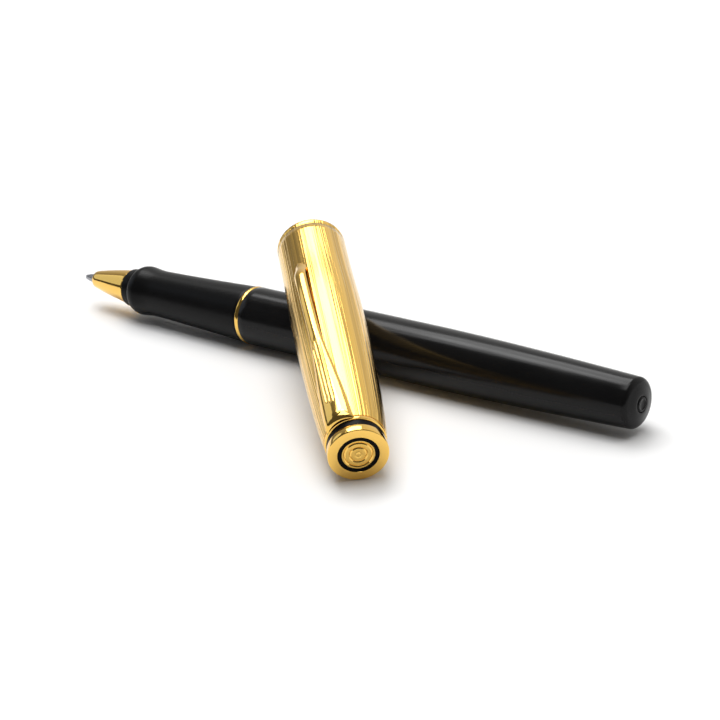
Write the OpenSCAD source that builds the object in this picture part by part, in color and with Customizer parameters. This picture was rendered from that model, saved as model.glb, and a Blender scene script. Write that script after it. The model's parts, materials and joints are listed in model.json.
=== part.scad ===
// Rollerball pen, uncapped, with its gold cap leaning across the barrel.
// The pen lies along X with its nose towards -X. The floor is z = 0 and the
// origin is the bottom centre of the bounding box.

/* [Pen] */
// Length of the uncapped pen, nose to tail
pen_length = 125; // [120:0.5:132]
// Outer radius of the straight part of the barrel
barrel_r = 5.2; // [5.1:0.05:5.6]
// Distance from the nose where the barrel starts to taper
taper_start = 84; // [78:1:90]
// Outer radius at the tail, before its rounded edge
tail_r = 4.2; // [4:0.05:4.5]
// Distance from the nose to the front of the trim ring
ring_front = 42.9; // [42:0.02:43.5]
// Width of the trim ring
ring_w = 0.82; // [0.7:0.01:1.2]
// Distance from the nose to the back edge of the nose cone
cone_back = 12.7; // [12.4:0.1:13.2]
// Radius of the nose cone at its back edge
cone_back_r = 3.25; // [3.2:0.01:3.35]
// Largest radius of the flare at the front of the grip
flare_r = 4.57; // [4.5:0.01:4.7]
// Smallest radius of the grip, behind the flare
waist_r = 4.27; // [4.1:0.01:4.4]

/* [Refill] */
// Radius of the refill tube, a standard 6 mm refill
refill_r = 3; // [2.9:0.01:3]
// Length of the refill from the ball to its end plug
refill_length = 112; // [110:0.5:112.5]
// Radius of the writing ball
ball_r = 0.35; // [0.25:0.05:0.35]
// Turns of the refill spring
spring_turns = 4; // [3:1:6]

/* [Cap] */
// Length of the cap, from the finial's face to the mouth
cap_length = 60.4; // [60:0.1:61]
// Radius of the cap next to the clip ring
cap_top_r = 4.9; // [4.85:0.01:4.95]
// Largest radius of the cap
cap_max_r = 6.14; // [6.1:0.01:6.2]
// Radius of the cap at its mouth
cap_mouth_r = 5.94; // [5.9:0.01:6]
// Distance from the finial's face to the cap's widest place
cap_wide_at = 38; // [34:1:42]
// Wall of the metal cap shell
shell_wall = 0.42; // [0.35:0.01:0.45]
// Radius of the bore that grips the section
cap_bore_r = 5.12; // [5.08:0.01:5.14]
// Radius of the finial
finial_r = 4.78; // [4.7:0.01:4.85]

/* [Clip] */
// Distance from the finial's face to the clip's tip
clip_tip_at = 46.5; // [42:0.5:50]
// Width of the clip at its root
clip_root_w = 5.2; // [4.4:0.1:5.6]
// Width of the clip at its shaft
clip_shaft_w = 2.2; // [1.8:0.1:2.6]
// Thickness of the clip
clip_t = 0.85; // [0.7:0.05:1]
// Largest gap between the clip and the cap
clip_gap = 1.15; // [0.8:0.05:1.4]
// Angle of the clip to the left of the cap's highest line
clip_lean = 30; // [0:1:60]

/* [Resting place] */
// Distance from the nose to where the cap crosses the barrel
cross_at = 62.6; // [58:0.1:70]
// Angle between the cap and the pen, seen from above
cap_yaw = 43.3; // [30:0.1:60]
// Angle between the cap and the floor
cap_rise = 13.2; // [12:0.1:15]
// Air between the cap and the barrel that it leans on
rest_gap = 0.1; // [0.05:0.01:0.3]

/* [Hidden] */
$fn = 96;

fit = 0.02;          // radial air between two pieces that are fixed together
running = 0.05;      // radial air between two pieces that turn or slide
eps = 0.01;          // overshoot of a cutting shape
inlay_r = 3.22;      // outer radius of the black inlay ring
disc_r = 2.64;       // radius of the disc inside it
neck_r = 3;          // radius of the finial's neck
screw_r = 1.4;       // radius of the finial screw
spacer_at = 1.6;     // front of the black spacer ring
clip_ring_at = 2.9;  // front of the clip ring
shell_at = 3.75;     // where the cap shell starts
spacer_r = 4.65;     // radius of the black spacer ring
lip_w = 1.3;         // width of the rolled lip at the cap's mouth
lip_groove = 0.07;   // depth of the groove behind the lip
nose_bore_r = 3.6;   // narrower bore, round the nose cone
nose_bore_at = 16;   // its closed end
main_bore_at = 29.4; // where the bore widens to grip the section
thread_r = 4;        // radius of the section's thread
thread_end = 50;     // back end of the thread
refill_bore_r = refill_r + 0.1; // bore for the refill
flare_at = 16.6;     // widest place of the flare
waist_at = 20;       // narrowest place of the grip
cone_front = 2.7;    // front of the nose cone
tip_bore_r = 1.05;   // hole in the point of the nose cone
tip_r = 1;           // radius of the refill's tip inside that hole
plug_r = 1.28;       // radius of the tail plug
spring_seat = 118;   // front of the barrel's end wall
outline_step = 2;    // spacing of the points on a curved outline

// Direction of the cap's axis, from the finial to the mouth
cap_dir = [-sin(90 - cap_yaw) * cos(cap_rise), cos(90 - cap_yaw) * cos(cap_rise), sin(cap_rise)];
// Upward normal that both the pen's axis and the cap's axis are square to
cross_len = norm([cap_dir[1], cap_dir[2]]);
cross_normal = [0, -cap_dir[2], cap_dir[1]] / cross_len;
// Point of the cap's axis that lies over the pen
cross_point = [cross_at, 0, barrel_r] + cross_normal * (barrel_r + cap_wide_r() + rest_gap);
// The finial stands on the floor on its edge
finial_z = finial_r * cos(cap_rise);
cap_station = (cross_point[2] - finial_z) / sin(cap_rise);
finial_point = cross_point - cap_station * cap_dir;

// Centre of the bounding box on the floor
cap_side = sqrt(1 - cap_dir[1] * cap_dir[1]);
y_low = finial_point[1] - finial_r * cap_side;
y_high = finial_point[1] + cap_length * cap_dir[1] + cap_mouth_r * cap_side;
centre = [pen_length / 2, (y_low + y_high) / 2, 0];

// Radius of the cap where it rests, between its widest place and its mouth
function cap_wide_r() = (cap_max_r + cap_mouth_r) / 2 - 0.08;

// Outer radius of the cap at a distance from the finial's face
function cap_r(s) =
    s <= cap_wide_at
        ? cap_top_r + (cap_max_r - cap_top_r)
            * pow(sin(90 * max(s - shell_at, 0) / (cap_wide_at - shell_at)), 0.65)
        : cap_mouth_r + (cap_max_r - cap_mouth_r)
            * (1 + cos(180 * min((s - cap_wide_at) / 14, 1))) / 2;

// Outer radius of the barrel at a distance from the nose
function barrel_out_r(s) =
    barrel_r - (barrel_r - tail_r) * pow(max(s - taper_start, 0) / (pen_length - 1 - taper_start), 1.6);

// Outer radius of the nose cone, slightly rounded along its length
function cone_r(s) =
    let (u = (s - 3.2) / (cone_back - 3.2))
    1.62 + (cone_back_r - 1.62) * u + 0.12 * sin(180 * u);

// Outer radius of the grip behind its flare
function grip_r(s) =
    s < waist_at
        ? waist_r + (flare_r - waist_r) * pow((waist_at - s) / (waist_at - flare_at), 1.5)
        : waist_r + (barrel_r - 0.1 - waist_r) * pow((s - waist_at) / (ring_front - waist_at), 1.25);

// Values from a to b, both included, about outline_step apart
function stations(a, b) = let (n = ceil((b - a) / outline_step)) [for (i = [0 : n]) a + (b - a) * i / n];

// Points of one ring of a tube round a helix
function coil_ring(turn, r, pitch, wire) =
    [for (k = [0 : 7]) let (a = 45 * k, q = r + wire * cos(a))
        [q * cos(360 * turn), q * sin(360 * turn), pitch * turn + wire * sin(a)]];

// Draws children along the pen: their z runs from the nose to the tail
module on_pen() { translate([0, 0, barrel_r] - centre) rotate([0, 90, 0]) children(); }

// Draws children along the cap: their z runs from the finial's face to the mouth
module on_cap() { translate(finial_point - centre) rotate([0, 90 - cap_rise, 180 - cap_yaw]) children(); }

// Solid of revolution from [radius, station] points
module turned(points) { rotate_extrude() polygon(points); }

// Hollow cylinder from station a to station b
module tube(a, b, r_out, r_in) {
    turned([[r_in, a], [r_out, a], [r_out, b], [r_in, b]]);
}

// Pen ------------------------------------------------------------------

module writing_ball() {
    color("silver") on_pen() translate([0, 0, ball_r]) sphere(r = ball_r);
}

module refill_tip() {
    lip_at = 0.22;
    color("dimgray") on_pen() difference() {
        turned([[0, lip_at], [0.45, lip_at], [0.95, 2.6], [tip_r, 2.7], [tip_r, 5.9],
                [1.45, 5.9], [1.45, 7.5], [0, 7.5]]);
        translate([0, 0, ball_r]) sphere(r = ball_r + 0.02);
        translate([0, 0, ball_r]) cylinder(h = 6.5, r = 0.2);
        translate([0, 0, 4]) cylinder(h = 4, r = 0.5 + fit);
    }
}

module feed_rod() {
    color("white") on_pen() translate([0, 0, 4.2]) cylinder(h = 35.8, r = 0.5);
}

module refill_nose() {
    color("gainsboro") on_pen()
        turned([[0.5 + fit, 7.5 + fit], [1.45, 7.5 + fit], [1.45, 10.8], [2.15, 11], [2.15, 20.4],
                [2.6, 21.6], [2.6, 28], [0.5 + fit, 28]]);
}

module refill_tube() {
    color("lightsteelblue") on_pen()
        turned([[2.2, 20], [2.45, 20], [refill_r, 21.4], [refill_r, refill_length - 2],
                [refill_r - 0.3, refill_length - 1.6], [refill_r - 0.3, refill_length - 1.8],
                [2.72, refill_length - 2], [2.72, 21.6], [2.2, 20.4]]);
}

module ink_reservoir() {
    color("midnightblue") on_pen() tube(28 + fit, refill_length - 5, 2.65, 0.5 + fit);
}

module refill_end_plug() {
    color("dimgray") on_pen()
        turned([[0, refill_length - 4.5], [2.65, refill_length - 4.5], [2.65, refill_length - 2],
                [2.2, refill_length - 1.4], [2.2, refill_length - 0.3], [1.9, refill_length],
                [0, refill_length]]);
}

module refill_spring() {
    wire = 0.22;
    coil_r = 2.2;
    rings_a_turn = 20;
    free = spring_seat - refill_length - 2 * wire - 0.1;
    rings = rings_a_turn * spring_turns;
    points = [for (i = [0 : rings]) each coil_ring(i / rings_a_turn, coil_r, free / spring_turns, wire)];
    walls = [for (i = [0 : rings - 1], k = [0 : 7]) let (j = (k + 1) % 8, a = 8 * i, b = 8 * i + 8)
        [a + k, b + k, b + j, a + j]];
    caps = [[for (k = [0 : 7]) k], [for (k = [7 : -1 : 0]) 8 * rings + k]];
    color("silver") on_pen() translate([0, 0, refill_length + wire + 0.05])
        polyhedron(points = points, faces = concat(walls, caps), convexity = 8);
}

module nose_cone() {
    outer = [for (s = stations(3.2, cone_back - 0.35)) [cone_r(s), s]];
    color("gold") on_pen() turned(concat(
        [[tip_bore_r, cone_front], [1.2, cone_front], [1.45, cone_front + 0.25]],
        outer,
        [[cone_back_r, cone_back - 0.3], [cone_back_r, cone_back], [2.9, cone_back], [2.9, 19],
         [2.35, 19], [2.35, 10.8], [1.6, 10.6], [1.6, 5.85], [tip_bore_r, 5.85]]));
}

module grip_section() {
    flare = [for (a = [0 : 15 : 90]) [flare_r - 1.05 * (1 - sin(a)), flare_at - 2.05 * cos(a)]];
    outer = [for (s = stations(flare_at + 0.4, ring_front)) [grip_r(s), s]];
    color("dimgray") on_pen() turned(concat(
        [[2.9 + fit, cone_back], [3.4, cone_back], [3.5, cone_back + 0.15]],
        flare, outer,
        [[3.9 + fit, ring_front], [3.9 + fit, 31], [refill_bore_r, 31], [refill_bore_r, 19 + fit],
         [2.9 + fit, 19 + fit]]));
}

module section_connector() {
    ring_back = ring_front + ring_w;
    color("goldenrod") on_pen()
        turned([[refill_bore_r, 31 + fit], [3.9, 31 + fit], [3.9, ring_back + 0.6],
                [thread_r, ring_back + 0.8], [thread_r, thread_end - 0.4],
                [thread_r - 0.3, thread_end], [refill_bore_r, thread_end]]);
}

module trim_ring() {
    a = ring_front + fit;
    b = ring_front + ring_w - fit;
    color("gold") on_pen()
        turned([[3.9 + running, a], [barrel_r - 0.1, a], [barrel_r + 0.02, a + 0.15],
                [barrel_r + 0.02, b - 0.15], [barrel_r - 0.05, b], [3.9 + running, b]]);
}

module barrel_bush() {
    a = ring_front + ring_w + 0.2;
    color("goldenrod") on_pen() tube(a, thread_end + 1, 4.5, thread_r + running);
}

module barrel() {
    a = ring_front + ring_w;
    edge = 1.4;
    end_r = barrel_out_r(pen_length - edge);
    outer = [for (s = stations(taper_start, pen_length - edge)) [barrel_out_r(s), s]];
    round_edge = [for (t = [15 : 15 : 75])
        [end_r - edge * (1 - cos(t)), pen_length - edge + (edge - 0.45) * sin(t)]];
    color("#1c1c1e") on_pen() turned(concat(
        [[4.5 + fit, a], [barrel_r - 0.06, a], [barrel_r, a + 0.12]],
        outer, round_edge,
        [[2.4, pen_length - 0.25], [plug_r + 0.12, pen_length - 0.08], [plug_r + 0.06, pen_length - 0.3],
         [plug_r + fit, pen_length - 0.3], [plug_r + fit, spring_seat],
         [refill_bore_r + 0.3, spring_seat], [refill_bore_r + 0.3, thread_end + 3],
         [4, thread_end + 1 + fit], [4.5 + fit, thread_end + 1 + fit]]));
}

module tail_plug() {
    color("#2a2a2c") on_pen()
        turned([[0, spring_seat + 0.2], [plug_r, spring_seat + 0.2], [plug_r, pen_length - 0.2],
                [plug_r - 0.15, pen_length - 0.05], [0.6, pen_length], [0, pen_length]]);
}

// Cap ------------------------------------------------------------------

module finial_disc() {
    // The face is turned in fine concentric steps
    steps = 4;
    face = [for (i = [steps - 1 : -1 : 0], k = [0, 1])
        let (r = disc_r * 0.86 * (i + 1 - 0.22 * k) / steps) [r, 0.06 + 0.08 * k]];
    color("gold") on_cap()
        turned(concat([[0, 0.9], [disc_r, 0.9], [disc_r, 0.18], [disc_r - 0.12, 0.06]], face, [[0, 0.14]]));
}

module finial_inlay_ring() {
    color("#1c1c1e") on_cap() tube(0.05, 0.9, inlay_r, disc_r + fit);
}

module finial() {
    pocket = 0.92;
    color("gold") on_cap()
        turned([[screw_r + fit, pocket + 1.2], [screw_r + 0.9, pocket + 1.2], [screw_r + 0.9, pocket],
                [inlay_r + fit, pocket], [inlay_r + fit, 0.04], [inlay_r + 0.08, 0],
                [finial_r - 0.2, 0], [finial_r - 0.06, 0.06], [finial_r, 0.2],
                [finial_r, spacer_at - 0.1], [finial_r - 0.1, spacer_at], [neck_r, spacer_at],
                [neck_r, shell_at + 1.2], [screw_r + fit, shell_at + 1.2]]);
}

module finial_screw() {
    head_at = 1;
    color("silver") on_cap() difference() {
        turned([[0, head_at], [screw_r + 0.8, head_at], [screw_r + 0.8, head_at + 1.1],
                [screw_r, head_at + 1.1], [screw_r, 9.6], [screw_r - 0.3, 10], [0, 10]]);
        translate([-2.5, -0.25, head_at - eps]) cube([5, 0.5, 0.5]);
    }
}

module cap_spacer_ring() {
    color("#1c1c1e") on_cap()
        turned([[neck_r + fit, spacer_at + fit], [spacer_r, spacer_at + fit],
                [spacer_r, clip_ring_at - fit], [neck_r + fit, clip_ring_at - fit]]);
}

module clip_ring() {
    color("gold") on_cap()
        turned([[neck_r + fit, clip_ring_at], [cap_top_r - 0.1, clip_ring_at],
                [cap_top_r - 0.02, clip_ring_at + 0.1], [cap_top_r - 0.02, shell_at - fit],
                [neck_r + fit, shell_at - fit]]);
}

// Gap between the clip and the cap: nearly closed at the root and at the tip
function clip_gap_at(s) =
    s < 14 ? 0.12
           : s < clip_tip_at - 5
               ? 0.12 + (clip_gap - 0.12) * (1 - cos(180 * (s - 14) / (clip_tip_at - 19))) / 2
               : clip_gap - (clip_gap - 0.15) * (1 - cos(180 * (s - clip_tip_at + 5) / 5)) / 2;

// Half the clip's width, which narrows from the root to the shaft
function clip_half_w(s) =
    clip_shaft_w / 2 + (clip_root_w - clip_shaft_w) / 2 * (1 + cos(180 * min((s - clip_ring_at) / 25, 1))) / 2;

// The clip's underside and top are spun round the cap's axis, so it is crowned like the cap
module clip() {
    root = clip_ring_at + 0.1;
    run = stations(shell_at + 0.4, clip_tip_at);
    tip_round = clip_shaft_w / 2;
    straight = stations(root, clip_tip_at - tip_round);
    under = [for (s = run) [cap_r(s) + clip_gap_at(s), s]];
    over = [for (i = [len(run) - 1 : -1 : 0]) let (s = run[i])
        [cap_r(s) + clip_gap_at(s) + clip_t, s]];
    right = [for (s = straight) [clip_half_w(s), s]];
    tip = [for (a = [15 : 15 : 165]) [tip_round * cos(a), clip_tip_at - tip_round + tip_round * sin(a)]];
    left = [for (i = [len(straight) - 1 : -1 : 0]) [-clip_half_w(straight[i]), straight[i]]];
    color("gold") on_cap() rotate([0, 0, 180 - clip_lean]) intersection() {
        turned(concat([[cap_top_r + 0.05, root], [cap_top_r + 0.05, shell_at + 0.15]], under, over,
                      [[cap_top_r + 0.75, root + 0.15], [cap_top_r + 0.5, root]]));
        rotate([90, 0, 90]) linear_extrude(height = 12) polygon(concat(right, tip, left));
    }
}

module cap_shell() {
    lip_at = cap_length - lip_w;
    run = stations(shell_at, lip_at);
    outer = [for (s = run) [cap_r(s), s]];
    inner = [for (i = [len(run) - 1 : -1 : 0]) [cap_r(run[i]) - shell_wall, run[i]]];
    lip = [for (a = [0 : 30 : 90])
        [cap_mouth_r - 0.3 * (1 - cos(a)), cap_length - 0.3 + 0.3 * sin(a)]];
    color("gold") on_cap() turned(concat(
        outer,
        [[cap_mouth_r - lip_groove, lip_at + 0.08], [cap_mouth_r - lip_groove, lip_at + 0.16],
         [cap_mouth_r, lip_at + 0.26]],
        lip,
        [[cap_mouth_r - shell_wall, cap_length]],
        inner));
}

module cap_liner() {
    run = stations(shell_at, cap_length - lip_w);
    last = cap_length - 0.25;
    outer = [for (s = run) [cap_r(s) - shell_wall - fit, max(s, shell_at + fit)]];
    color("dimgray") on_cap() turned(concat(
        outer,
        [[cap_mouth_r - shell_wall - fit, last], [cap_bore_r + 0.15, last], [cap_bore_r, last - 0.15],
         [cap_bore_r, main_bore_at], [nose_bore_r, main_bore_at - 1], [nose_bore_r, nose_bore_at],
         [2 + fit, nose_bore_at], [2 + fit, nose_bore_at - 2.5], [screw_r + fit, nose_bore_at - 2.5],
         [screw_r + fit, shell_at + 1.2 + fit], [neck_r + fit, shell_at + 1.2 + fit],
         [neck_r + fit, shell_at + fit]]));
}

module tip_seal() {
    a = nose_bore_at - 2.5 + fit;
    color("dimgray") on_cap()
        turned([[0, a], [2, a], [2, nose_bore_at - 0.1], [1.6, nose_bore_at], [0, nose_bore_at - 0.25]]);
}

writing_ball();
refill_tip();
feed_rod();
refill_nose();
refill_tube();
ink_reservoir();
refill_end_plug();
refill_spring();
nose_cone();
grip_section();
section_connector();
trim_ring();
barrel_bush();
barrel();
tail_plug();
finial_disc();
finial_inlay_ring();
finial();
finial_screw();
cap_spacer_ring();
clip_ring();
clip();
cap_shell();
cap_liner();
tip_seal();
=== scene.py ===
"""A rollerball pen with its cap off, lying on a pale table: lacquered barrel, gold cap and nose."""

import json
import math
from functools import partial

import bmesh
import bpy
from bpy.props import FloatProperty, FloatVectorProperty, IntProperty, PointerProperty
from bpy.types import Operator, Panel, PropertyGroup
from mathutils import Matrix, Vector


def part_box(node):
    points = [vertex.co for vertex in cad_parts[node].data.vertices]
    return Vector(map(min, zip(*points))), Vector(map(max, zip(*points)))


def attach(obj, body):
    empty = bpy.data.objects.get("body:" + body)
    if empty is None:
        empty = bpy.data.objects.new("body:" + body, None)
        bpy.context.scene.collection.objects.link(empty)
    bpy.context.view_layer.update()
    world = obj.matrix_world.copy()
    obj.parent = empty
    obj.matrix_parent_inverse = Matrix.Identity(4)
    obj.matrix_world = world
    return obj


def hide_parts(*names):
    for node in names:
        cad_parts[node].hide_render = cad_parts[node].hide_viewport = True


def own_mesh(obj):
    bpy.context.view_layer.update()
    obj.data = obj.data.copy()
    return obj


bl_info = {
    "name": "Rollerball Pen",
    "version": (1, 0, 0),
    "blender": (4, 5, 0),
    "location": "View3D > Sidebar > Pen",
    "description": "Builds a gold and black rollerball pen round its mechanical frame",
    "category": "Add Mesh",
}

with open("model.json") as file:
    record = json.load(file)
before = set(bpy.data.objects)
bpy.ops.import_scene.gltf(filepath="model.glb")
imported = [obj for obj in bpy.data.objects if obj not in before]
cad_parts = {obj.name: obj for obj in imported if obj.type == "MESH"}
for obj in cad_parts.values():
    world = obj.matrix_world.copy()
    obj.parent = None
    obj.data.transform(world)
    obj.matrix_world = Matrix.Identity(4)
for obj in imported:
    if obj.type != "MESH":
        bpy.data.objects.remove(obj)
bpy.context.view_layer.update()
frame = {"nodes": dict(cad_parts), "record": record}

MM = 0.001
ROUND_STEPS = 160        # faces round a turned piece
SMALL_STEPS = 96         # faces round a small one
OUTLINE_STEP = 1.25      # mm between the rings of a curved outline
AIR = 0.02               # mm left between a new piece and the piece that it holds
REFILL_BORE_R = 3.1      # mm, of the bore that the refill runs in


# Places ----------------------------------------------------------------------------------------

def mount(name):
    """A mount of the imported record, as (point, direction)."""
    found = next(m for m in frame["record"]["mounts"] if m["name"] == name)
    return Vector(found["pos_m"]), Vector(found["axis"]).normalized()


def pen_place():
    """Turns pen millimetres, z from nose to tail, into the frame's metres."""
    low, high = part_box("barrel")
    nose = Vector((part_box("writing_ball")[0].x, (low.y + high.y) / 2, (low.z + high.z) / 2))
    return Matrix.Translation(nose) @ Matrix.Rotation(math.radians(90), 4, "Y") @ Matrix.Scale(MM, 4)


def cap_place():
    """Turns cap millimetres, z from finial to mouth and x towards the clip, into the frame's metres."""
    on_axis, along = mount("cap_mouth_bore")
    on_face, _ = mount("cap_top_face")
    _, out = mount("pocket_clip")
    face_centre = on_axis - along * (on_axis - on_face).dot(along)
    out = (out - along * out.dot(along)).normalized()
    turn = Matrix((out, along.cross(out), along)).transposed().to_4x4()
    return Matrix.Translation(face_centre) @ turn @ Matrix.Scale(MM, 4)


PEN = pen_place()
CAP = cap_place()


def reach(node, place):
    """First and last station and largest radius of a CAD node along its own axis, in mm."""
    back = place.inverted()
    points = [back @ v.co for v in frame["nodes"][node].data.vertices]
    stations = [p.z for p in points]
    return min(stations), max(stations), max(math.hypot(p.x, p.y) for p in points)


RING_FRONT, RING_BACK, RING_R = reach("trim_ring", PEN)
GRIP_FRONT, GRIP_BACK, GRIP_R = reach("grip_section", PEN)
CONE_FRONT, CONE_END, CONE_R = reach("nose_cone", PEN)
BARREL_FRONT, TAIL, BARREL_R = reach("barrel", PEN)
SHELL_FRONT, MOUTH, CAP_MAX_R = reach("cap_shell", CAP)
CLIP_FRONT, CLIP_TIP, _ = reach("clip", CAP)


# Sizes and colours -----------------------------------------------------------------------------

class PEN_PG_barrel(PropertyGroup):
    taper_start: FloatProperty(
        name="Taper Start", description="Distance from the nose where the barrel starts to narrow, in mm",
        default=84.0, min=60.0, max=110.0)
    taper_power: FloatProperty(
        name="Taper Curve", description="How late the taper bends in", default=1.6, min=1.0, max=3.0)
    tail_r: FloatProperty(name="Tail Radius", description="Radius before the tail's edge, in mm", default=4.2)
    tail_edge: FloatProperty(name="Tail Edge", description="Rounding of the tail's edge, in mm", default=1.4)
    plug_r: FloatProperty(
        name="Plug Radius", description="Radius of the plug in the tail, in mm", default=1.28)
    colour: FloatVectorProperty(
        name="Lacquer", description="Colour of the barrel's lacquer", subtype="COLOR", size=3,
        default=(0.0065, 0.0064, 0.0066), min=0.0, max=1.0)
    gloss: FloatProperty(
        name="Roughness", description="Roughness of the lacquer", subtype="FACTOR", default=0.17,
        min=0.0, max=1.0)
    shine: FloatProperty(
        name="Shine", description="Strength of the lacquer's reflection", subtype="FACTOR", default=0.16)


class PEN_PG_section(PropertyGroup):
    flare_at: FloatProperty(
        name="Flare", description="Distance from the nose to the flare, in mm", default=16.6)
    flare_r: FloatProperty(
        name="Flare Radius", description="Largest radius of the flare, in mm", default=4.57)
    waist_at: FloatProperty(
        name="Waist", description="Distance from the nose to the waist, in mm", default=20.0)
    waist_r: FloatProperty(
        name="Waist Radius", description="Smallest radius behind the flare, in mm", default=4.27)
    step_r: FloatProperty(
        name="Step Radius", description="Radius of the step before the flare, in mm", default=3.5)
    colour: FloatVectorProperty(
        name="Grip Colour", description="Colour of the satin grip", subtype="COLOR", size=3,
        default=(0.0045, 0.0044, 0.0045), min=0.0, max=1.0)
    roughness: FloatProperty(
        name="Roughness", description="Roughness of the grip", subtype="FACTOR", default=0.3,
        min=0.0, max=1.0)
    shine: FloatProperty(
        name="Shine", description="Strength of the grip's reflection", subtype="FACTOR", default=0.1)
    thread_pitch: FloatProperty(
        name="Thread Pitch", description="Pitch of the section's thread, in mm", default=0.75)
    spring_wire: FloatProperty(
        name="Spring Wire", description="Thickness of the refill spring's wire, in mm", default=0.44)
    spring_turns: IntProperty(name="Spring Turns", description="Turns of the refill spring", default=4)


class PEN_PG_cap(PropertyGroup):
    top_r: FloatProperty(name="Top Radius", description="Radius next to the clip ring, in mm", default=4.9)
    mouth_r: FloatProperty(name="Mouth Radius", description="Radius at the mouth, in mm", default=5.94)
    wide_at: FloatProperty(
        name="Widest", description="Distance from the top to the widest place, in mm", default=38.0)
    wall: FloatProperty(name="Wall", description="Thickness of the metal shell, in mm", default=0.42)
    lip: FloatProperty(name="Lip", description="Width of the rolled lip, in mm", default=1.3)
    inlay_r: FloatProperty(
        name="Inlay Radius", description="Outer radius of the black inlay, in mm", default=3.22)
    disc_r: FloatProperty(name="Disc Radius", description="Radius of the turned disc, in mm", default=2.64)
    disc_rings: IntProperty(
        name="Disc Rings", description="Turned rings on the disc", default=3, min=1, max=8)


class PEN_PG_clip(PropertyGroup):
    root_w: FloatProperty(name="Root Width", description="Width at the root, in mm", default=5.2)
    shaft_w: FloatProperty(name="Shaft Width", description="Width of the shaft, in mm", default=2.2)
    thickness: FloatProperty(name="Thickness", description="Thickness of the blade, in mm", default=0.85)
    gap: FloatProperty(name="Gap", description="Largest gap to the cap, in mm", default=1.15)
    crown: FloatProperty(
        name="Crown", description="How far the blade falls from its middle to its edges, in mm", default=0.38)
    grooves: IntProperty(name="Grooves", description="Straight grooves on the root", default=3, min=0, max=7)
    groove_depth: FloatProperty(name="Groove Depth", description="Depth of a groove, in mm", default=0.14)


class PEN_PG_gold(PropertyGroup):
    colour: FloatVectorProperty(
        name="Gold", description="Colour of the gold plate", subtype="COLOR", size=3,
        default=(0.94, 0.59, 0.142), min=0.0, max=1.0)
    roughness: FloatProperty(
        name="Roughness", description="Roughness of the polished plate", subtype="FACTOR", default=0.07)
    lines: FloatProperty(name="Lines", description="How many lengthwise lines the cap has", default=46.0)
    line_depth: FloatProperty(
        name="Line Depth", description="Depth of the lengthwise lines, in mm", default=0.06)
    # The gold's brightness where the lines sink in: painted shade in the grooves.
    line_painted_shade: FloatProperty(
        name="Line Shade", description="Brightness of the gold in the lines", subtype="FACTOR", default=0.76)


class PEN_PG_stage(PropertyGroup):
    azimuth: FloatProperty(
        name="Azimuth", description="Direction of the camera round the pen", subtype="ANGLE",
        default=math.radians(41.361))
    elevation: FloatProperty(
        name="Elevation", description="Height of the camera above the table", subtype="ANGLE",
        default=math.radians(21.762))
    roll: FloatProperty(
        name="Roll", description="Tilt of the camera", subtype="ANGLE", default=math.radians(-4.7145))
    distance: FloatProperty(
        name="Distance", description="From the camera to its aim", subtype="DISTANCE", unit="LENGTH",
        default=0.37897)
    aim: FloatVectorProperty(
        name="Aim", description="Point that the camera looks at", subtype="TRANSLATION", size=3,
        default=(0.0107856, 0.0088726, 0.005))
    lens: FloatProperty(name="Lens", description="Focal length in mm", unit="CAMERA", default=112.84)
    floor: FloatVectorProperty(
        name="Table", description="Colour of the table", subtype="COLOR", size=3,
        default=(0.92, 0.92, 0.92), min=0.0, max=1.0)
    key_azimuth: FloatProperty(
        name="Softbox Azimuth", description="Direction of the big softbox", subtype="ANGLE",
        default=math.radians(-132))
    key_elevation: FloatProperty(
        name="Softbox Elevation", description="Height of the big softbox", subtype="ANGLE",
        default=math.radians(57))
    key_power: FloatProperty(
        name="Softbox Power", description="Power of the big softbox", unit="POWER", default=4.2)
    top_power: FloatProperty(
        name="Top Light Power", description="Power of the light overhead", unit="POWER", default=5.4)
    high_power: FloatProperty(
        name="High Light Power", description="Power of the small softbox high on the left", unit="POWER",
        default=0.85)
    side_power: FloatProperty(
        name="Side Light Power", description="Power of the small softbox on the left", unit="POWER",
        default=0.75)
    room_dark: FloatProperty(
        name="Room Shade", description="Brightness of the room behind the camera", default=0.08)
    room_light: FloatProperty(
        name="Room Light", description="Brightness of the room behind the pen", default=0.8)


class PEN_PG_all(PropertyGroup):
    barrel: PointerProperty(type=PEN_PG_barrel)
    section: PointerProperty(type=PEN_PG_section)
    cap: PointerProperty(type=PEN_PG_cap)
    clip: PointerProperty(type=PEN_PG_clip)
    gold: PointerProperty(type=PEN_PG_gold)
    stage: PointerProperty(type=PEN_PG_stage)


def settings():
    """The sizes and colours as they stand in the sidebar."""
    return bpy.context.scene.rollerball_pen


# Mesh helpers ----------------------------------------------------------------------------------

def stations(start, end, step=OUTLINE_STEP):
    """Evenly spaced stations from start to end, both included."""
    count = max(1, math.ceil((end - start) / step))
    return [start + (end - start) * i / count for i in range(count + 1)]


def arc(centre_r, centre_z, radius, start, end, count=6):
    """Points (r, z) of an arc, with angles in degrees from the outward direction."""
    angles = [math.radians(start + (end - start) * i / count) for i in range(count + 1)]
    return [(centre_r + radius * math.cos(a), centre_z + radius * math.sin(a)) for a in angles]


def ease(t):
    """Smooth step from 0 to 1."""
    t = min(max(t, 0.0), 1.0)
    return (1 - math.cos(math.pi * t)) / 2


def direction(azimuth, elevation):
    """Unit vector from the pen towards a direction round it and above the table."""
    flat = math.cos(elevation)
    return Vector((math.sin(azimuth) * flat, -math.cos(azimuth) * flat, math.sin(elevation)))


def add_object(name, data):
    """Makes an object of some data and links it to the scene."""
    thing = bpy.data.objects.new(name, data)
    bpy.context.scene.collection.objects.link(thing)
    return thing


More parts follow.
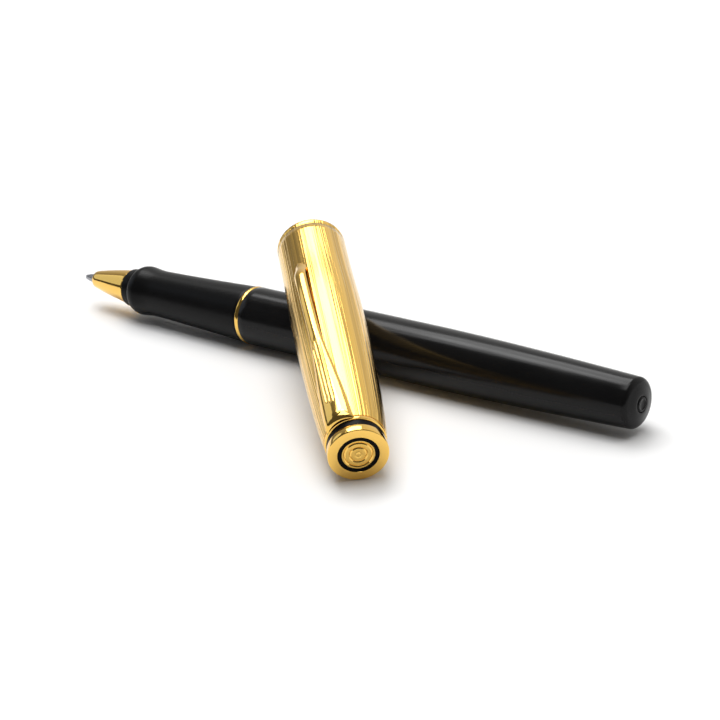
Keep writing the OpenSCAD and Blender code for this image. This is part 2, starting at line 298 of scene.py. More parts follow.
def finish_piece(bm, name, place, node, body, material, sharp=40):
    """Puts a bmesh made in mm in its place, gives it its material and stands it for a node."""
    bmesh.ops.transform(bm, matrix=place, verts=bm.verts)
    for face in bm.faces:
        face.smooth = True
    mesh = bpy.data.meshes.new(name)
    bm.to_mesh(mesh)
    bm.free()
    mesh.set_sharp_from_angle(angle=math.radians(sharp))
    mesh.materials.append(material)
    piece = add_object(name, mesh)
    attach(piece, body)
    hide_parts(node)
    return piece


def lathe(outline, closed=True, steps=ROUND_STEPS):
    """Spins an outline of (radius, station) points round z. A closed outline makes a ring."""
    bm = bmesh.new()
    corners = [bm.verts.new((r, 0, z)) for r, z in outline]
    pairs = list(zip(corners, corners[1:]))
    if closed:
        pairs.append((corners[-1], corners[0]))
    lines = [bm.edges.new(pair) for pair in pairs]
    bmesh.ops.spin(
        bm, geom=corners + lines, cent=(0, 0, 0), axis=(0, 0, 1), angle=math.tau, steps=steps,
        use_merge=True)
    bmesh.ops.remove_doubles(bm, verts=bm.verts, dist=1e-5)
    bmesh.ops.recalc_face_normals(bm, faces=bm.faces)
    return bm


def soften(bm, width, above, segments):
    """Bevels every edge that is sharper than an angle in degrees."""
    limit = math.radians(above)
    sharp = [e for e in bm.edges if len(e.link_faces) == 2 and e.calc_face_angle() > limit]
    bmesh.ops.bevel(
        bm, geom=sharp, offset=width, affect="EDGES", segments=segments, profile=0.5, material=-1,
        clamp_overlap=True)


# Materials -------------------------------------------------------------------------------------

class Nodes:
    """A small helper that builds a material's node tree."""

    def __init__(self, name):
        self.material = bpy.data.materials.new(name)
        self.material.use_nodes = True
        self.tree = self.material.node_tree
        self.shader = self.tree.nodes["Principled BSDF"]
        self.coordinates = self.tree.nodes.new("ShaderNodeTexCoord")

    def add(self, kind, **values):
        """A new node with some of its own settings."""
        node = self.tree.nodes.new(kind)
        for key, value in values.items():
            setattr(node, key, value)
        return node

    def link(self, source, target):
        self.tree.links.new(source, target)

    def set(self, **values):
        """Sets the shader's own sockets to levels that are the same all over."""
        for key, value in values.items():
            self.shader.inputs[key.replace("_", " ")].default_value = value

    def local(self, place, scale):
        """Object coordinates turned to a piece's own axis and scaled, in mm."""
        mapping = self.add("ShaderNodeMapping", vector_type="POINT")
        back = place.inverted()
        mapping.inputs["Location"].default_value = back.to_translation()
        mapping.inputs["Rotation"].default_value = back.to_euler()
        mapping.inputs["Scale"].default_value = back.to_scale()
        self.link(self.coordinates.outputs["Object"], mapping.inputs["Vector"])
        stretch = self.add("ShaderNodeMapping", vector_type="POINT")
        stretch.inputs["Scale"].default_value = scale
        self.link(mapping.outputs["Vector"], stretch.inputs["Vector"])
        return stretch.outputs["Vector"]

    def round_axis(self, place, round_scale, along_scale):
        """Coordinates that turn with the angle round a piece's axis and creep along it."""
        flat = self.add("ShaderNodeVectorMath", operation="NORMALIZE")
        self.link(self.local(place, (1, 1, 0)), flat.inputs[0])
        ring = self.add("ShaderNodeVectorMath", operation="SCALE")
        ring.inputs["Scale"].default_value = round_scale
        self.link(flat.outputs["Vector"], ring.inputs[0])
        both = self.add("ShaderNodeVectorMath", operation="ADD")
        self.link(ring.outputs["Vector"], both.inputs[0])
        self.link(self.local(place, (0, 0, along_scale)), both.inputs[1])
        return both.outputs["Vector"]

    def noise(self, vector, detail=2.0, roughness=0.5):
        """Soft noise at the scale of its coordinates."""
        node = self.add("ShaderNodeTexNoise")
        node.inputs["Scale"].default_value = 1.0
        node.inputs["Detail"].default_value = detail
        node.inputs["Roughness"].default_value = roughness
        self.link(vector, node.inputs["Vector"])
        return node.outputs["Fac"]

    def remap(self, value, low, high, to_low, to_high):
        """A value moved from one range to another, and held inside it."""
        node = self.add("ShaderNodeMapRange")
        for key, number in (("From Min", low), ("From Max", high), ("To Min", to_low), ("To Max", to_high)):
            node.inputs[key].default_value = number
        self.link(value, node.inputs["Value"])
        return node.outputs["Result"]

    def colour(self, value, colour, darkest, lightest):
        """Base colour that goes between two tints of one colour as a value goes from 0 to 1."""
        node = self.add("ShaderNodeMix", data_type="RGBA")
        node.inputs["A"].default_value = (*tinted(colour, darkest), 1)
        node.inputs["B"].default_value = (*tinted(colour, lightest), 1)
        self.link(value, node.inputs["Factor"])
        self.link(node.outputs["Result"], self.shader.inputs["Base Color"])

    def roughness(self, value, low, high, smoothest, roughest):
        """Roughness that goes between two levels as a value goes from low to high."""
        self.link(self.remap(value, low, high, smoothest, roughest), self.shader.inputs["Roughness"])

    def bump(self, height, strength, depth):
        """Relief from a height, with its depth in mm."""
        node = self.add("ShaderNodeBump")
        node.inputs["Strength"].default_value = strength
        node.inputs["Distance"].default_value = depth * MM
        self.link(height, node.inputs["Height"])
        self.link(node.outputs["Normal"], self.shader.inputs["Normal"])


def tinted(colour, factor):
    """A colour made darker or lighter."""
    return tuple(min(1.0, c * factor) for c in colour)


def gold(name, place, scale, depth):
    """Polished gold plate with faint marks stretched by scale in the piece's own axes."""
    s = settings().gold
    m = Nodes(name)
    m.set(Metallic=1.0)
    marks = m.noise(m.local(place, scale), detail=3.0, roughness=0.6)
    cloud = m.noise(m.local(place, (0.18, 0.18, 0.07)))
    m.colour(cloud, s.colour, 0.95, 1.04)
    m.roughness(marks, 0.3, 0.75, s.roughness * 0.8, s.roughness * 1.7)
    m.bump(marks, 1.0, depth)
    return m.material


def lined_gold(name):
    """The cap's gold, with fine lines that run from its top to its mouth and painted shade in their grooves.
    """
    s = settings().gold
    m = Nodes(name)
    m.set(Metallic=1.0)
    coarse = m.noise(m.round_axis(CAP, s.lines / 5, 0.012), roughness=0.6)
    fine = m.noise(m.round_axis(CAP, s.lines / 2, 0.02), roughness=0.6)
    m.roughness(fine, 0.3, 0.7, s.roughness, s.roughness * 2.2)
    lines = m.add("ShaderNodeMath", operation="MULTIPLY_ADD")
    lines.inputs[1].default_value = 2.4      # how much deeper the coarse lines are
    m.link(coarse, lines.inputs[0])
    m.link(fine, lines.inputs[2])
    height = lines.outputs["Value"]
    m.bump(height, 1.0, s.line_depth)
    # The base colour darkens where the lines sink in. This is painted shade in the grooves, on top of the
    # bump.
    m.colour(m.remap(height, 1.4, 1.85, 0.0, 1.0), s.colour, s.line_painted_shade, 1.04)
    return m.material


def lacquer(name):
    """Deep black lacquer with a faint haze."""
    s = settings().barrel
    m = Nodes(name)
    m.set(IOR=1.5, Specular_IOR_Level=s.shine)
    haze = m.noise(m.local(PEN, (0.35, 0.35, 0.12)), detail=4.0, roughness=0.55)
    m.colour(haze, s.colour, 0.8, 1.3)
    m.roughness(haze, 0.3, 0.7, s.gloss * 0.85, s.gloss * 1.2)
    return m.material


def satin_black(name):
    """Satin moulded grip with a fine skin grain."""
    s = settings().section
    m = Nodes(name)
    m.set(IOR=1.5, Specular_IOR_Level=s.shine)
    grain = m.noise(m.local(PEN, (9.0, 9.0, 9.0)), detail=3.0, roughness=0.6)
    wear = m.noise(m.local(PEN, (0.3, 0.3, 0.15)), detail=3.0)
    m.colour(wear, s.colour, 0.8, 1.35)
    m.roughness(grain, 0.3, 0.7, s.roughness * 0.85, s.roughness * 1.2)
    m.bump(grain, 0.05, 0.01)
    return m.material


def turned_metal(name, colour, roughness):
    """Metal with the fine rings that a lathe leaves."""
    m = Nodes(name)
    m.set(Metallic=1.0)
    rings = m.noise(m.local(PEN, (0.4, 0.4, 14.0)), detail=3.0, roughness=0.6)
    m.colour(rings, colour, 0.85, 1.1)
    m.roughness(rings, 0.3, 0.7, roughness * 0.8, roughness * 1.25)
    m.bump(rings, 0.08, 0.02)
    return m.material


def plain_finish(name, place, colour, roughness, grain, relief, shine=0.5):
    """Moulded plastic, rubber or fibre with a fine grain."""
    m = Nodes(name)
    m.set(IOR=1.48, Specular_IOR_Level=shine)
    speck = m.noise(m.local(place, (grain, grain, grain)), detail=4.0, roughness=0.6)
    m.colour(speck, colour, 0.8, 1.2)
    m.roughness(speck, 0.3, 0.7, roughness * 0.9, min(1.0, roughness * 1.1))
    m.bump(speck, relief, 0.03)
    return m.material


FINISHES = {
    "gold_cap": lined_gold,
    "gold_clip": partial(gold, place=CAP, scale=(4.0, 4.0, 0.1), depth=0.006),
    "gold_finial": partial(gold, place=CAP, scale=(2.0, 2.0, 5.0), depth=0.003),
    "gold_pen": partial(gold, place=PEN, scale=(1.5, 1.5, 4.0), depth=0.003),
    "deep_lacquer": lacquer,
    "satin_skin": satin_black,
    "black_inlay": partial(
        plain_finish, place=CAP, colour=(0.004, 0.004, 0.0045), roughness=0.32, grain=3.0,
        relief=0.02, shine=0.05),
    "tip_steel": partial(turned_metal, colour=(0.34, 0.34, 0.36), roughness=0.34),
    "bright_steel": partial(turned_metal, colour=(0.58, 0.58, 0.6), roughness=0.22),
    "ball_carbide": partial(turned_metal, colour=(0.5, 0.5, 0.52), roughness=0.12),
    "turned_brass": partial(turned_metal, colour=(0.78, 0.56, 0.26), roughness=0.24),
    "moulded_grey": partial(
        plain_finish, place=CAP, colour=(0.05, 0.05, 0.055), roughness=0.42, grain=4.0, relief=0.08),
    "inky_fibre": partial(
        plain_finish, place=PEN, colour=(0.03, 0.04, 0.16), roughness=0.85, grain=6.0, relief=0.5),
    "rubber": partial(
        plain_finish, place=CAP, colour=(0.02, 0.02, 0.02), roughness=0.6, grain=5.0, relief=0.15),
}


def finish_of(name):
    """The material of that name, made once."""
    return bpy.data.materials.get(name) or FINISHES[name](name)


# Curves that several pieces share --------------------------------------------------------------

def barrel_radius(z):
    """Radius of the barrel, which is straight and then tapers to its tail."""
    s = settings().barrel
    run = TAIL - 1 - s.taper_start
    return BARREL_R - (BARREL_R - s.tail_r) * (max(z - s.taper_start, 0) / run) ** s.taper_power


def grip_radius(z):
    """Radius of the grip, from its flare through its waist to the trim ring."""
    s = settings().section
    if z < s.waist_at:
        share = ((s.waist_at - z) / (s.waist_at - s.flare_at)) ** 1.5
        return s.waist_r + (s.flare_r - s.waist_r) * share
    share = ((z - s.waist_at) / (GRIP_BACK - s.waist_at)) ** 1.25
    return s.waist_r + (GRIP_R - s.waist_r) * share


def cap_radius(z):
    """Radius of the cap, which swells from its top and draws in towards its mouth."""
    s = settings().cap
    swell, draw_in = 0.65, 14      # how early it swells, and the length that draws in
    if z <= s.wide_at:
        share = max(z - SHELL_FRONT, 0) / (s.wide_at - SHELL_FRONT)
        return s.top_r + (CAP_MAX_R - s.top_r) * math.sin(math.pi / 2 * share) ** swell
    return CAP_MAX_R - (CAP_MAX_R - s.mouth_r) * ease((z - s.wide_at) / draw_in)


# Pieces ----------------------------------------------------------------------------------------

class PEN_OT_barrel(Operator):
    """Make the lacquered barrel and the plug in its tail"""
    bl_idname = "pen.barrel"
    bl_label = "Barrel"
    bl_options = {"REGISTER", "UNDO"}

    def execute(self, context):
        s = settings().barrel
        _, bush_back, bush_r = reach("barrel_bush", PEN)
        bush_back += AIR
        bush_r += AIR
        plug_front, plug_back, _ = reach("tail_plug", PEN)
        plug_seat = plug_front - 0.2
        spring_bore_r, thread_bore_r = 3.4, 4.0
        dome_rise = 0.45
        edge_z = TAIL - s.tail_edge
        edge_r = barrel_radius(edge_z)
        outer = [(barrel_radius(z), z) for z in stations(BARREL_FRONT + 0.12, edge_z)]
        rim = [
            (edge_r - s.tail_edge * (1 - math.cos(a)), edge_z + (s.tail_edge - dome_rise) * math.sin(a))
            for a in (math.radians(t) for t in range(10, 76, 8))
        ]
        dome = [
            (2.75, TAIL - 0.35), (2.3, TAIL - 0.22), (1.8, TAIL - 0.12), (s.plug_r + 0.16, TAIL - 0.06),
        ]
        groove = [
            (s.plug_r + 0.1, TAIL - 0.08), (s.plug_r + 0.05, TAIL - 0.28), (s.plug_r + 0.01, TAIL - 0.3),
        ]
        inside = [
            (s.plug_r + 0.01, plug_seat), (spring_bore_r, plug_seat), (spring_bore_r, bush_back + 2),
            (thread_bore_r, bush_back), (bush_r, bush_back), (bush_r, BARREL_FRONT),
        ]
        bm = lathe(outer + rim + dome + groove + inside + [(BARREL_R - 0.06, BARREL_FRONT)])
        finish_piece(bm, "barrel_skin", PEN, "barrel", "barrel", finish_of("deep_lacquer"))

        plug = [
            (0, plug_front), (s.plug_r, plug_front), (s.plug_r, TAIL - 0.22), (s.plug_r - 0.05, TAIL - 0.12),
            (s.plug_r - 0.18, plug_back - 0.05), (1.0, plug_back), (0.92, plug_back - 0.01),
            (0.78, plug_back - 0.1), (0.45, plug_back - 0.16), (0, plug_back - 0.18),
        ]
        bm = lathe(plug, closed=False, steps=SMALL_STEPS)
        finish_piece(
            bm, "tail_button", PEN, "tail_plug", "barrel", finish_of("deep_lacquer"))
        return {"FINISHED"}


class PEN_OT_section(Operator):
    """Make the satin grip with its step, flare and waist, and the trim ring behind it"""
    bl_idname = "pen.section"
    bl_label = "Grip Section"
    bl_options = {"REGISTER", "UNDO"}

    def execute(self, context):
        s = settings().section
        cone_bore_r, thread_bore_r, ring_bore_r = 2.94, 3.92, 3.96
        cone_seat, thread_seat = 19.02, 31.0
        flare_rise, flare_run = 1.04, 2.04
        step = [
            (cone_bore_r, GRIP_FRONT), (s.step_r - 0.12, GRIP_FRONT), (s.step_r - 0.02, GRIP_FRONT + 0.07),
            (s.step_r, GRIP_FRONT + 0.2), (s.step_r, s.flare_at - flare_run - 0.06),
        ]
        flare = [
            (s.flare_r - flare_rise * (1 - math.sin(a)), s.flare_at - flare_run * math.cos(a))
            for a in (math.radians(t) for t in range(2, 91, 8))
        ]
        outer = [(grip_radius(z), z) for z in stations(s.flare_at + 0.3, GRIP_BACK - 0.08, 0.7)]
        inside = [
            (grip_radius(GRIP_BACK) - 0.06, GRIP_BACK), (thread_bore_r, GRIP_BACK),
            (thread_bore_r, thread_seat), (REFILL_BORE_R, thread_seat), (REFILL_BORE_R, cone_seat),
            (cone_bore_r, cone_seat),
        ]
        bm = lathe(step + flare + outer + inside)
        finish_piece(bm, "grip_skin", PEN, "grip_section", "section", finish_of("satin_skin"))

        ring = [
            (ring_bore_r, RING_FRONT), (RING_R - 0.12, RING_FRONT), (RING_R - 0.03, RING_FRONT + 0.08),
            (RING_R, RING_FRONT + 0.2), (RING_R, RING_BACK - 0.2), (RING_R - 0.03, RING_BACK - 0.08),
            (RING_R - 0.12, RING_BACK), (ring_bore_r, RING_BACK),
        ]
        bm = lathe(ring)
        finish_piece(bm, "trim_band", PEN, "trim_ring", "trim_ring", finish_of("gold_pen"))
        return {"FINISHED"}


class PEN_OT_thread(Operator):
    """Cut the section's thread, which shows when it is unscrewed"""
    bl_idname = "pen.thread"
    bl_label = "Section Thread"
    bl_options = {"REGISTER", "UNDO"}

    def execute(self, context):
        s = settings().section
        front, back, _ = reach("section_connector", PEN)
        plain_r, crest, root = 3.9, 4.0, 3.72
        core = [
            (REFILL_BORE_R, front), (plain_r, front), (plain_r, RING_BACK + 0.6),
            (root, RING_BACK + 0.9), (root, back - 0.3), (root - 0.2, back), (REFILL_BORE_R, back),
        ]
        bm = lathe(core, steps=SMALL_STEPS)
        start, end = RING_BACK + 1.0, back - 0.9
        turns = (end - start) / s.thread_pitch
        steps_a_turn = 48
        half = s.thread_pitch * 0.42      # half of the ridge's foot
        ridge = (
            (root - 0.05, 0, start - half), (crest, 0, start - 0.06), (crest, 0, start + 0.06),
            (root - 0.05, 0, start + half),
        )
        profile = bm.faces.new([bm.verts.new(corner) for corner in ridge])
        count = int(turns * steps_a_turn)
        bmesh.ops.spin(
            bm, geom=[profile], cent=(0, 0, 0), axis=(0, 0, 1), angle=math.tau * turns, steps=count,
            dvec=(0, 0, (end - start) / count))
        bmesh.ops.recalc_face_normals(bm, faces=bm.faces)
        finish_piece(
            bm, "section_thread", PEN, "section_connector", "section", finish_of("turned_brass"))
        return {"FINISHED"}


class PEN_OT_spring(Operator):
    """Wind the refill spring, which is squeezed when the point is pressed"""
    bl_idname = "pen.spring"
    bl_label = "Refill Spring"
    bl_options = {"REGISTER", "UNDO"}

    def execute(self, context):
        s = settings().section
        front, back, outside = reach("refill_spring", PEN)
        wire = s.spring_wire / 2
        start, end = front + wire, back - wire
        first = Matrix.Translation((outside - wire, 0, start)) @ Matrix.Rotation(math.radians(90), 4, "X")
        bm = bmesh.new()
        bmesh.ops.create_circle(bm, cap_ends=True, segments=12, radius=wire, matrix=first)
        steps_a_turn = 40
        count = s.spring_turns * steps_a_turn
        bmesh.ops.spin(
            bm, geom=bm.faces[:], cent=(0, 0, 0), axis=(0, 0, 1), angle=math.tau * s.spring_turns,
            steps=count, dvec=(0, 0, (end - start) / count))
        bmesh.ops.recalc_face_normals(bm, faces=bm.faces)
        coil = finish_piece(
            bm, "spring_coil", PEN, "refill_spring", "barrel", finish_of("bright_steel"))
        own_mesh(coil)
        return {"FINISHED"}


class PEN_OT_nose(Operator):
    """Make the gold nose cone, the writing tip and its ball"""
    bl_idname = "pen.nose"
    bl_label = "Nose Cone And Tip"
    bl_options = {"REGISTER", "UNDO"}

    def execute(self, context):
        back = GRIP_FRONT
        shoulder = 3.2
        front_r, end_r = 1.62, CONE_R
        swell = 0.12
        spigot_r, nose_bore_r, tip_bore_r, point_r = 2.9, 2.35, 1.6, 1.05
        nose_seat, tip_seat = 10.8, 5.85

        def radius(z):
            share = (z - shoulder) / (back - shoulder)
            return front_r + (end_r - front_r) * share + swell * math.sin(math.pi * share)

        nosing = [
            (1.06, CONE_FRONT), (1.16, CONE_FRONT), (1.26, CONE_FRONT + 0.05), (1.44, CONE_FRONT + 0.27),
        ]
        outer = [(radius(z), z) for z in stations(shoulder, back - 0.5, 0.7)]
        rear = [
            (end_r - 0.05, back - 0.42), (end_r - 0.06, back - 0.34), (end_r, back - 0.3),
            (end_r, back - 0.06), (end_r - 0.06, back),
        ]
        spigot = [
            (spigot_r, back), (spigot_r, CONE_END), (nose_bore_r, CONE_END), (nose_bore_r, nose_seat),
            (tip_bore_r, nose_seat - 0.2), (tip_bore_r, tip_seat), (point_r, tip_seat),
        ]
        bm = lathe(nosing + outer + rear + spigot)
        finish_piece(bm, "nose_shell", PEN, "nose_cone", "section", finish_of("gold_pen"))

        lip = 0.22
        socket_r, ink_bore_r, neck_r, body_r = 0.372, 0.2, 0.98, 1.43
        tip = [
            (socket_r, lip + 0.04), (0.39, lip), (0.42, lip), (0.45, lip + 0.05), (0.6, 0.95), (0.63, 1.0),
            (0.92, 2.5), (neck_r, 2.72), (neck_r, 5.9), (body_r, 5.9), (body_r, 7.48), (ink_bore_r, 7.48),
            (ink_bore_r, 1.0), (socket_r, 0.42),
        ]
        bm = lathe(tip, steps=SMALL_STEPS)
        finish_piece(bm, "writing_tip", PEN, "refill_tip", "refill", finish_of("tip_steel"))

        bm = bmesh.new()
        ball = reach("writing_ball", PEN)[2]
        bmesh.ops.create_uvsphere(
            bm, u_segments=48, v_segments=24, radius=ball, matrix=Matrix.Translation((0, 0, ball)))
        finish_piece(bm, "ink_ball", PEN, "writing_ball", "ball", finish_of("ball_carbide"))
        return {"FINISHED"}


class PEN_OT_cap_shell(Operator):
    """Make the gold shell of the cap with its rolled lip"""
    bl_idname = "pen.cap_shell"
    bl_label = "Cap Shell"
    bl_options = {"REGISTER", "UNDO"}

    def execute(self, context):
        s = settings().cap
        groove_at = MOUTH - s.lip
        lip_r = 0.21
        outer = [(cap_radius(z), z) for z in stations(SHELL_FRONT, groove_at)]
        groove = [
            (s.mouth_r - 0.05, groove_at + 0.06), (s.mouth_r - 0.07, groove_at + 0.12),
            (s.mouth_r - 0.05, groove_at + 0.18), (s.mouth_r, groove_at + 0.27),
        ]
        lip = arc(s.mouth_r - lip_r, MOUTH - lip_r, lip_r, 0, 180, 12)
        inner = [(cap_radius(z) - s.wall, z) for z in reversed(stations(SHELL_FRONT, groove_at))]
        round_steps = 192      # more than usual, because it is the brightest piece
        bm = lathe(outer + groove + lip + inner, steps=round_steps)
        finish_piece(bm, "cap_tube", CAP, "cap_shell", "cap", finish_of("gold_cap"))
        return {"FINISHED"}


class PEN_OT_finial(Operator):
    """Make the stack at the cap's top: finial, inlay, turned disc, black ring and clip ring"""
    bl_idname = "pen.finial"
    bl_label = "Finial Stack"
    bl_options = {"REGISTER", "UNDO"}

    def execute(self, context):
        s = settings().cap
        _, neck_end, top_r = reach("finial", CAP)
        spacer_front, spacer_back, spacer_r = reach("cap_spacer_ring", CAP)
        ring_front, ring_back, ring_r = reach("clip_ring", CAP)
        edge_r, neck_r, ring_bore_r, inlay_back = 0.22, 3.0, 3.02, 0.9
        screw_r, screw_head_r, screw_seat = 1.42, 2.3, 2.12
        middle_steps = 128      # faces round the inlay and the disc
        face = [
            (s.inlay_r + AIR, inlay_back + AIR), (s.inlay_r + AIR, 0.06), (s.inlay_r + 0.06, 0.0),
        ]
        edge = arc(top_r - edge_r, edge_r, edge_r, -90, 0)
        band = [
            (top_r, spacer_front - 0.2), (top_r - 0.03, spacer_front - 0.1),
            (top_r - 0.12, spacer_front - AIR), (neck_r, spacer_front - AIR), (neck_r, neck_end),
        ]
        bore = [
            (screw_r, neck_end), (screw_r, screw_seat), (screw_head_r, screw_seat),
            (screw_head_r, inlay_back + AIR),
        ]
        bm = lathe(face + edge + band + bore)
        finish_piece(bm, "finial_body", CAP, "finial", "cap", finish_of("gold_finial"))

        inlay = [
            (s.disc_r + AIR, inlay_back), (s.disc_r + AIR, 0.12), (s.disc_r + 0.08, 0.06),
            (s.inlay_r - 0.06, 0.06), (s.inlay_r, 0.12), (s.inlay_r, inlay_back),
        ]
        bm = lathe(inlay, steps=middle_steps)
        finish_piece(
            bm, "inlay_band", CAP, "finial_inlay_ring", "cap", finish_of("black_inlay"))

        # Shallow turned grooves, evenly spaced from the middle
        pitch = s.disc_r / s.disc_rings
        disc_top, groove_half, samples = 0.08, 0.2, 120

        def height(r):
            near = (math.floor(r / pitch) + 0.5) * pitch
            depth = 0.14 if near > pitch else 0.06      # the innermost ring is fainter
            return disc_top + depth * max(0.0, 1 - abs(r - near) / groove_half)

        across = [(s.disc_r - 0.1) * (1 - i / samples) for i in range(samples)]
        rim = [(0, inlay_back), (s.disc_r, inlay_back), (s.disc_r, 0.16), (s.disc_r - 0.06, disc_top)]
        turned = [(r, height(r)) for r in across] + [(0, height(0))]
        bm = lathe(rim + turned, closed=False, steps=middle_steps)
        finish_piece(bm, "turned_disc", CAP, "finial_disc", "cap", finish_of("gold_finial"))

        spacer = [
            (ring_bore_r, spacer_front), (spacer_r - 0.12, spacer_front), (spacer_r, spacer_front + 0.14),
            (spacer_r, spacer_back - 0.14), (spacer_r - 0.12, spacer_back), (ring_bore_r, spacer_back),
        ]
        bm = lathe(spacer)
        finish_piece(
            bm, "spacer_band", CAP, "cap_spacer_ring", "cap", finish_of("black_inlay"))

        ring = [
            (ring_bore_r, ring_front), (ring_r - 0.16, ring_front), (ring_r - 0.04, ring_front + 0.07),
            (ring_r, ring_front + 0.2), (ring_r, ring_back - 0.1), (ring_r - 0.08, ring_back),
            (ring_bore_r, ring_back),
        ]
        bm = lathe(ring)
        finish_piece(bm, "clip_collar", CAP, "clip_ring", "cap", finish_of("gold_finial"))
        return {"FINISHED"}


class PEN_OT_clip(Operator):
    """Make the sprung clip: a crowned blade that narrows to a rounded tip, with straight grooves"""
    bl_idname = "pen.clip"
    bl_label = "Clip"
    bl_options = {"REGISTER", "UNDO"}

    def half_width(self, z):
        """Half of the blade's width, which tapers to the shaft and ends in a rounded tip."""
        s = settings().clip
        taper_run = 25
        taper = 1 - ease((z - CLIP_FRONT) / taper_run)
        wide = s.shaft_w / 2 + (s.root_w - s.shaft_w) / 2 * taper
        round_r = s.shaft_w / 2
        past = max(z - (CLIP_TIP - round_r), 0) / round_r
        return wide * math.sqrt(max(1 - past * past, 0.02))

    def lift(self, z):
        """Gap between the blade and the cap."""
        s = settings().clip
        root_gap, tip_gap = 0.12, 0.15
        rise_at, curl_run = 14, 5
        curl_at = CLIP_TIP - curl_run
        if z < rise_at:
            return root_gap
        if z < curl_at:
            return root_gap + (s.gap - root_gap) * ease((z - rise_at) / (curl_at - rise_at))
        return s.gap - (s.gap - tip_gap) * ease((z - curl_at) / curl_run)

    def groove(self, across, z):
        """Depth of the straight grooves at a place on the blade."""
        s = settings().clip
        start, end = CLIP_FRONT + 4, CLIP_FRONT + 21
        if not s.grooves or not start < z < end:
            return 0.0
        fade = min(1.0, (z - start) / 1.2, (end - z) / 4.0)
        pitch, half = 0.62, 0.28      # mm between grooves, and half a groove as a share of that
        offset = across / pitch + (s.grooves - 1) / 2
        near = round(offset)
        if near < 0 or near >= s.grooves:
            return 0.0
        return s.groove_depth * fade * max(0.0, 1 - (abs(offset - near) / half) ** 2)

    def upper(self, across, z):
        """A place on the blade's crowned top, across from -1 to 1."""
        s = settings().clip
        x = across * self.half_width(z)
        top = cap_radius(max(z, SHELL_FRONT + 0.4)) + self.lift(z) + s.thickness
        root_run, root_thickness, edge_fall = 1.6, 0.15, 0.2
        root = 1 - min((z - CLIP_FRONT) / root_run, 1)
        top -= (s.thickness - root_thickness) * (1 - math.sqrt(1 - root * root))
        top -= s.crown * across * across + edge_fall * abs(across) ** 7
        top -= self.groove(x, z)
        return Vector((top * math.cos(x / top), top * math.sin(x / top), z))

    def lower(self, across, z):
        """A place on the blade's underside, which is narrower than the top."""
        seat = settings().cap.top_r + 0.05
        floor = cap_radius(z) + self.lift(z) if z > SHELL_FRONT + 0.4 else seat
        narrower = 0.8
        turn = narrower * across * self.half_width(z) / floor
        return Vector((floor * math.cos(turn), floor * math.sin(turn), z))

    def execute(self, context):
        faces_across, faces_along = 56, 150
        bm = bmesh.new()
        bmesh.ops.create_grid(bm, x_segments=faces_across, y_segments=faces_along, size=1)
        below = list(bm.verts)
        raised = bmesh.ops.extrude_face_region(bm, geom=bm.faces[:])["geom"]
        above = [g for g in raised if isinstance(g, bmesh.types.BMVert)]
        for places, curve in ((below, self.lower), (above, self.upper)):
            for v in places:
                v.co = curve(v.co.x, CLIP_FRONT + (CLIP_TIP - CLIP_FRONT) * (v.co.y + 1) / 2)
        bmesh.ops.recalc_face_normals(bm, faces=bm.faces)
        soften(bm, 0.06, above=50, segments=2)
        finish_piece(bm, "clip_blade", CAP, "clip", "clip", finish_of("gold_clip"), sharp=50)
        return {"FINISHED"}


class PEN_OT_inside(Operator):
    """Give the pieces inside the pen and the cap their finishes"""
    bl_idname = "pen.inside"
    bl_label = "Inside Pieces"
    bl_options = {"REGISTER", "UNDO"}

    def execute(self, context):
        finishes = {
            "feed_rod": "inky_fibre", "refill_nose": "moulded_grey", "refill_tube": "bright_steel",
            "ink_reservoir": "inky_fibre", "refill_end_plug": "moulded_grey",
            "barrel_bush": "turned_brass", "finial_screw": "bright_steel", "cap_liner": "moulded_grey",
            "tip_seal": "rubber",
        }
        for node, finish in finishes.items():
            mesh = frame["nodes"][node].data
            mesh.materials.clear()
            mesh.materials.append(finish_of(finish))
        return {"FINISHED"}


# Stage -----------------------------------------------------------------------------------------

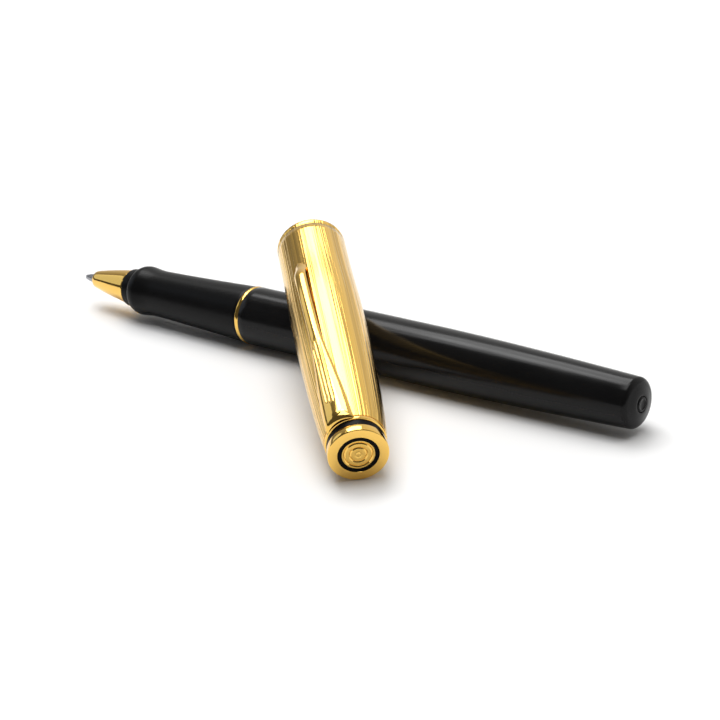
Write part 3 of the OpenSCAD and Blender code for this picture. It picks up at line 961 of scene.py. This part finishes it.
class PEN_OT_stage(Operator):
    """Make the table, the softboxes and the camera"""
    bl_idname = "pen.stage"
    bl_label = "Stage"
    bl_options = {"REGISTER", "UNDO"}

    def table(self):
        s = settings().stage
        half_size = 2.5      # metres
        bm = bmesh.new()
        bmesh.ops.create_grid(bm, x_segments=1, y_segments=1, size=half_size)
        mesh = bpy.data.meshes.new("table")
        bm.to_mesh(mesh)
        bm.free()
        m = Nodes("table_top")
        m.set(Base_Color=(*s.floor, 1), Roughness=0.6)
        mesh.materials.append(m.material)
        add_object("table", mesh)

    def softbox(self, name, power, size, away, colour=(1.0, 1.0, 1.0)):
        """A rectangular area light one metre from the pen, away in some direction, that faces it."""
        light = bpy.data.lights.new(name, "AREA")
        light.energy = power
        light.color = colour
        light.shape = "RECTANGLE"
        light.size, light.size_y = size
        lamp = add_object(name, light)
        lamp.location = away
        lamp.rotation_euler = away.to_track_quat("Z", "Y").to_euler()

    def room(self):
        """A room that is lighter on the far side of the pen."""
        s = settings().stage
        world = bpy.data.worlds.new("room")
        world.use_nodes = True
        tree = world.node_tree
        where = tree.nodes.new("ShaderNodeTexCoord")
        towards = tree.nodes.new("ShaderNodeVectorMath")
        towards.operation = "DOT_PRODUCT"
        towards.inputs[1].default_value = (0.08, 0.97, 0.2)      # the lightest part of the room
        level = tree.nodes.new("ShaderNodeMapRange")
        level.interpolation_type = "SMOOTHSTEP"
        level.inputs["From Min"].default_value = -0.2
        level.inputs["From Max"].default_value = 1.0
        level.inputs["To Min"].default_value = s.room_dark
        level.inputs["To Max"].default_value = s.room_light
        background = tree.nodes["Background"]
        background.inputs["Color"].default_value = (1.0, 0.99, 0.97, 1)
        tree.links.new(where.outputs["Generated"], towards.inputs[0])
        tree.links.new(towards.outputs["Value"], level.inputs["Value"])
        tree.links.new(level.outputs["Result"], background.inputs["Strength"])
        bpy.context.scene.world = world

    def camera(self):
        s = settings().stage
        back = direction(s.azimuth, s.elevation)
        right = Vector((math.cos(s.azimuth), math.sin(s.azimuth), 0))
        turn = Matrix((right, back.cross(right), back)).transposed().to_4x4()
        data = bpy.data.cameras.new("camera")
        data.lens = s.lens
        data.sensor_width = 36
        data.clip_start = 0.01
        camera = add_object("camera", data)
        place = Matrix.Translation(Vector(s.aim) + back * s.distance)
        camera.matrix_world = place @ turn @ Matrix.Rotation(s.roll, 4, "Z")
        bpy.context.scene.camera = camera

    def execute(self, context):
        s = settings().stage
        self.table()
        self.room()
        key = direction(s.key_azimuth, s.key_elevation)
        high = direction(math.radians(-101), math.radians(58))
        overhead = direction(0.0, math.radians(88))
        side = direction(math.radians(-79), math.radians(23))
        self.softbox("big_softbox", s.key_power, (0.6, 0.5), key)
        self.softbox("high_softbox", s.high_power, (0.36, 0.18), high)
        self.softbox("top_softbox", s.top_power, (0.8, 0.6), overhead)
        self.softbox("side_softbox", s.side_power, (0.6, 0.5), side, colour=(0.8, 0.88, 1.0))
        self.camera()
        bpy.context.scene.view_settings.view_transform = "Standard"
        return {"FINISHED"}


class PEN_PT_panel(Panel):
    """Lists the pen's pieces"""
    bl_idname = "PEN_PT_panel"
    bl_label = "Rollerball Pen"
    bl_space_type = "VIEW_3D"
    bl_region_type = "UI"
    bl_category = "Pen"

    def draw(self, context):
        column = self.layout.column(align=True)
        for operator in OPERATORS:
            column.operator(operator.bl_idname)
        for group in ("barrel", "section", "cap", "clip", "gold", "stage"):
            values = getattr(settings(), group)
            box = self.layout.box()
            box.label(text=group.capitalize())
            for key in values.__annotations__:
                box.prop(values, key)


OPERATORS = (
    PEN_OT_stage, PEN_OT_barrel, PEN_OT_section, PEN_OT_thread, PEN_OT_spring, PEN_OT_nose,
    PEN_OT_cap_shell, PEN_OT_finial, PEN_OT_clip, PEN_OT_inside,
)
GROUPS = (
    PEN_PG_barrel, PEN_PG_section, PEN_PG_cap, PEN_PG_clip, PEN_PG_gold, PEN_PG_stage, PEN_PG_all,
)


def register():
    for cls in (*GROUPS, *OPERATORS, PEN_PT_panel):
        bpy.utils.register_class(cls)
    bpy.types.Scene.rollerball_pen = PointerProperty(type=PEN_PG_all)


def unregister():
    del bpy.types.Scene.rollerball_pen
    for cls in reversed((*GROUPS, *OPERATORS, PEN_PT_panel)):
        bpy.utils.unregister_class(cls)


def main():
    register()
    bpy.ops.pen.stage()
    bpy.ops.pen.barrel()
    bpy.ops.pen.section()
    bpy.ops.pen.thread()
    bpy.ops.pen.spring()
    bpy.ops.pen.nose()
    bpy.ops.pen.cap_shell()
    bpy.ops.pen.finial()
    bpy.ops.pen.clip()
    bpy.ops.pen.inside()


if __name__ == "__main__":
    main()
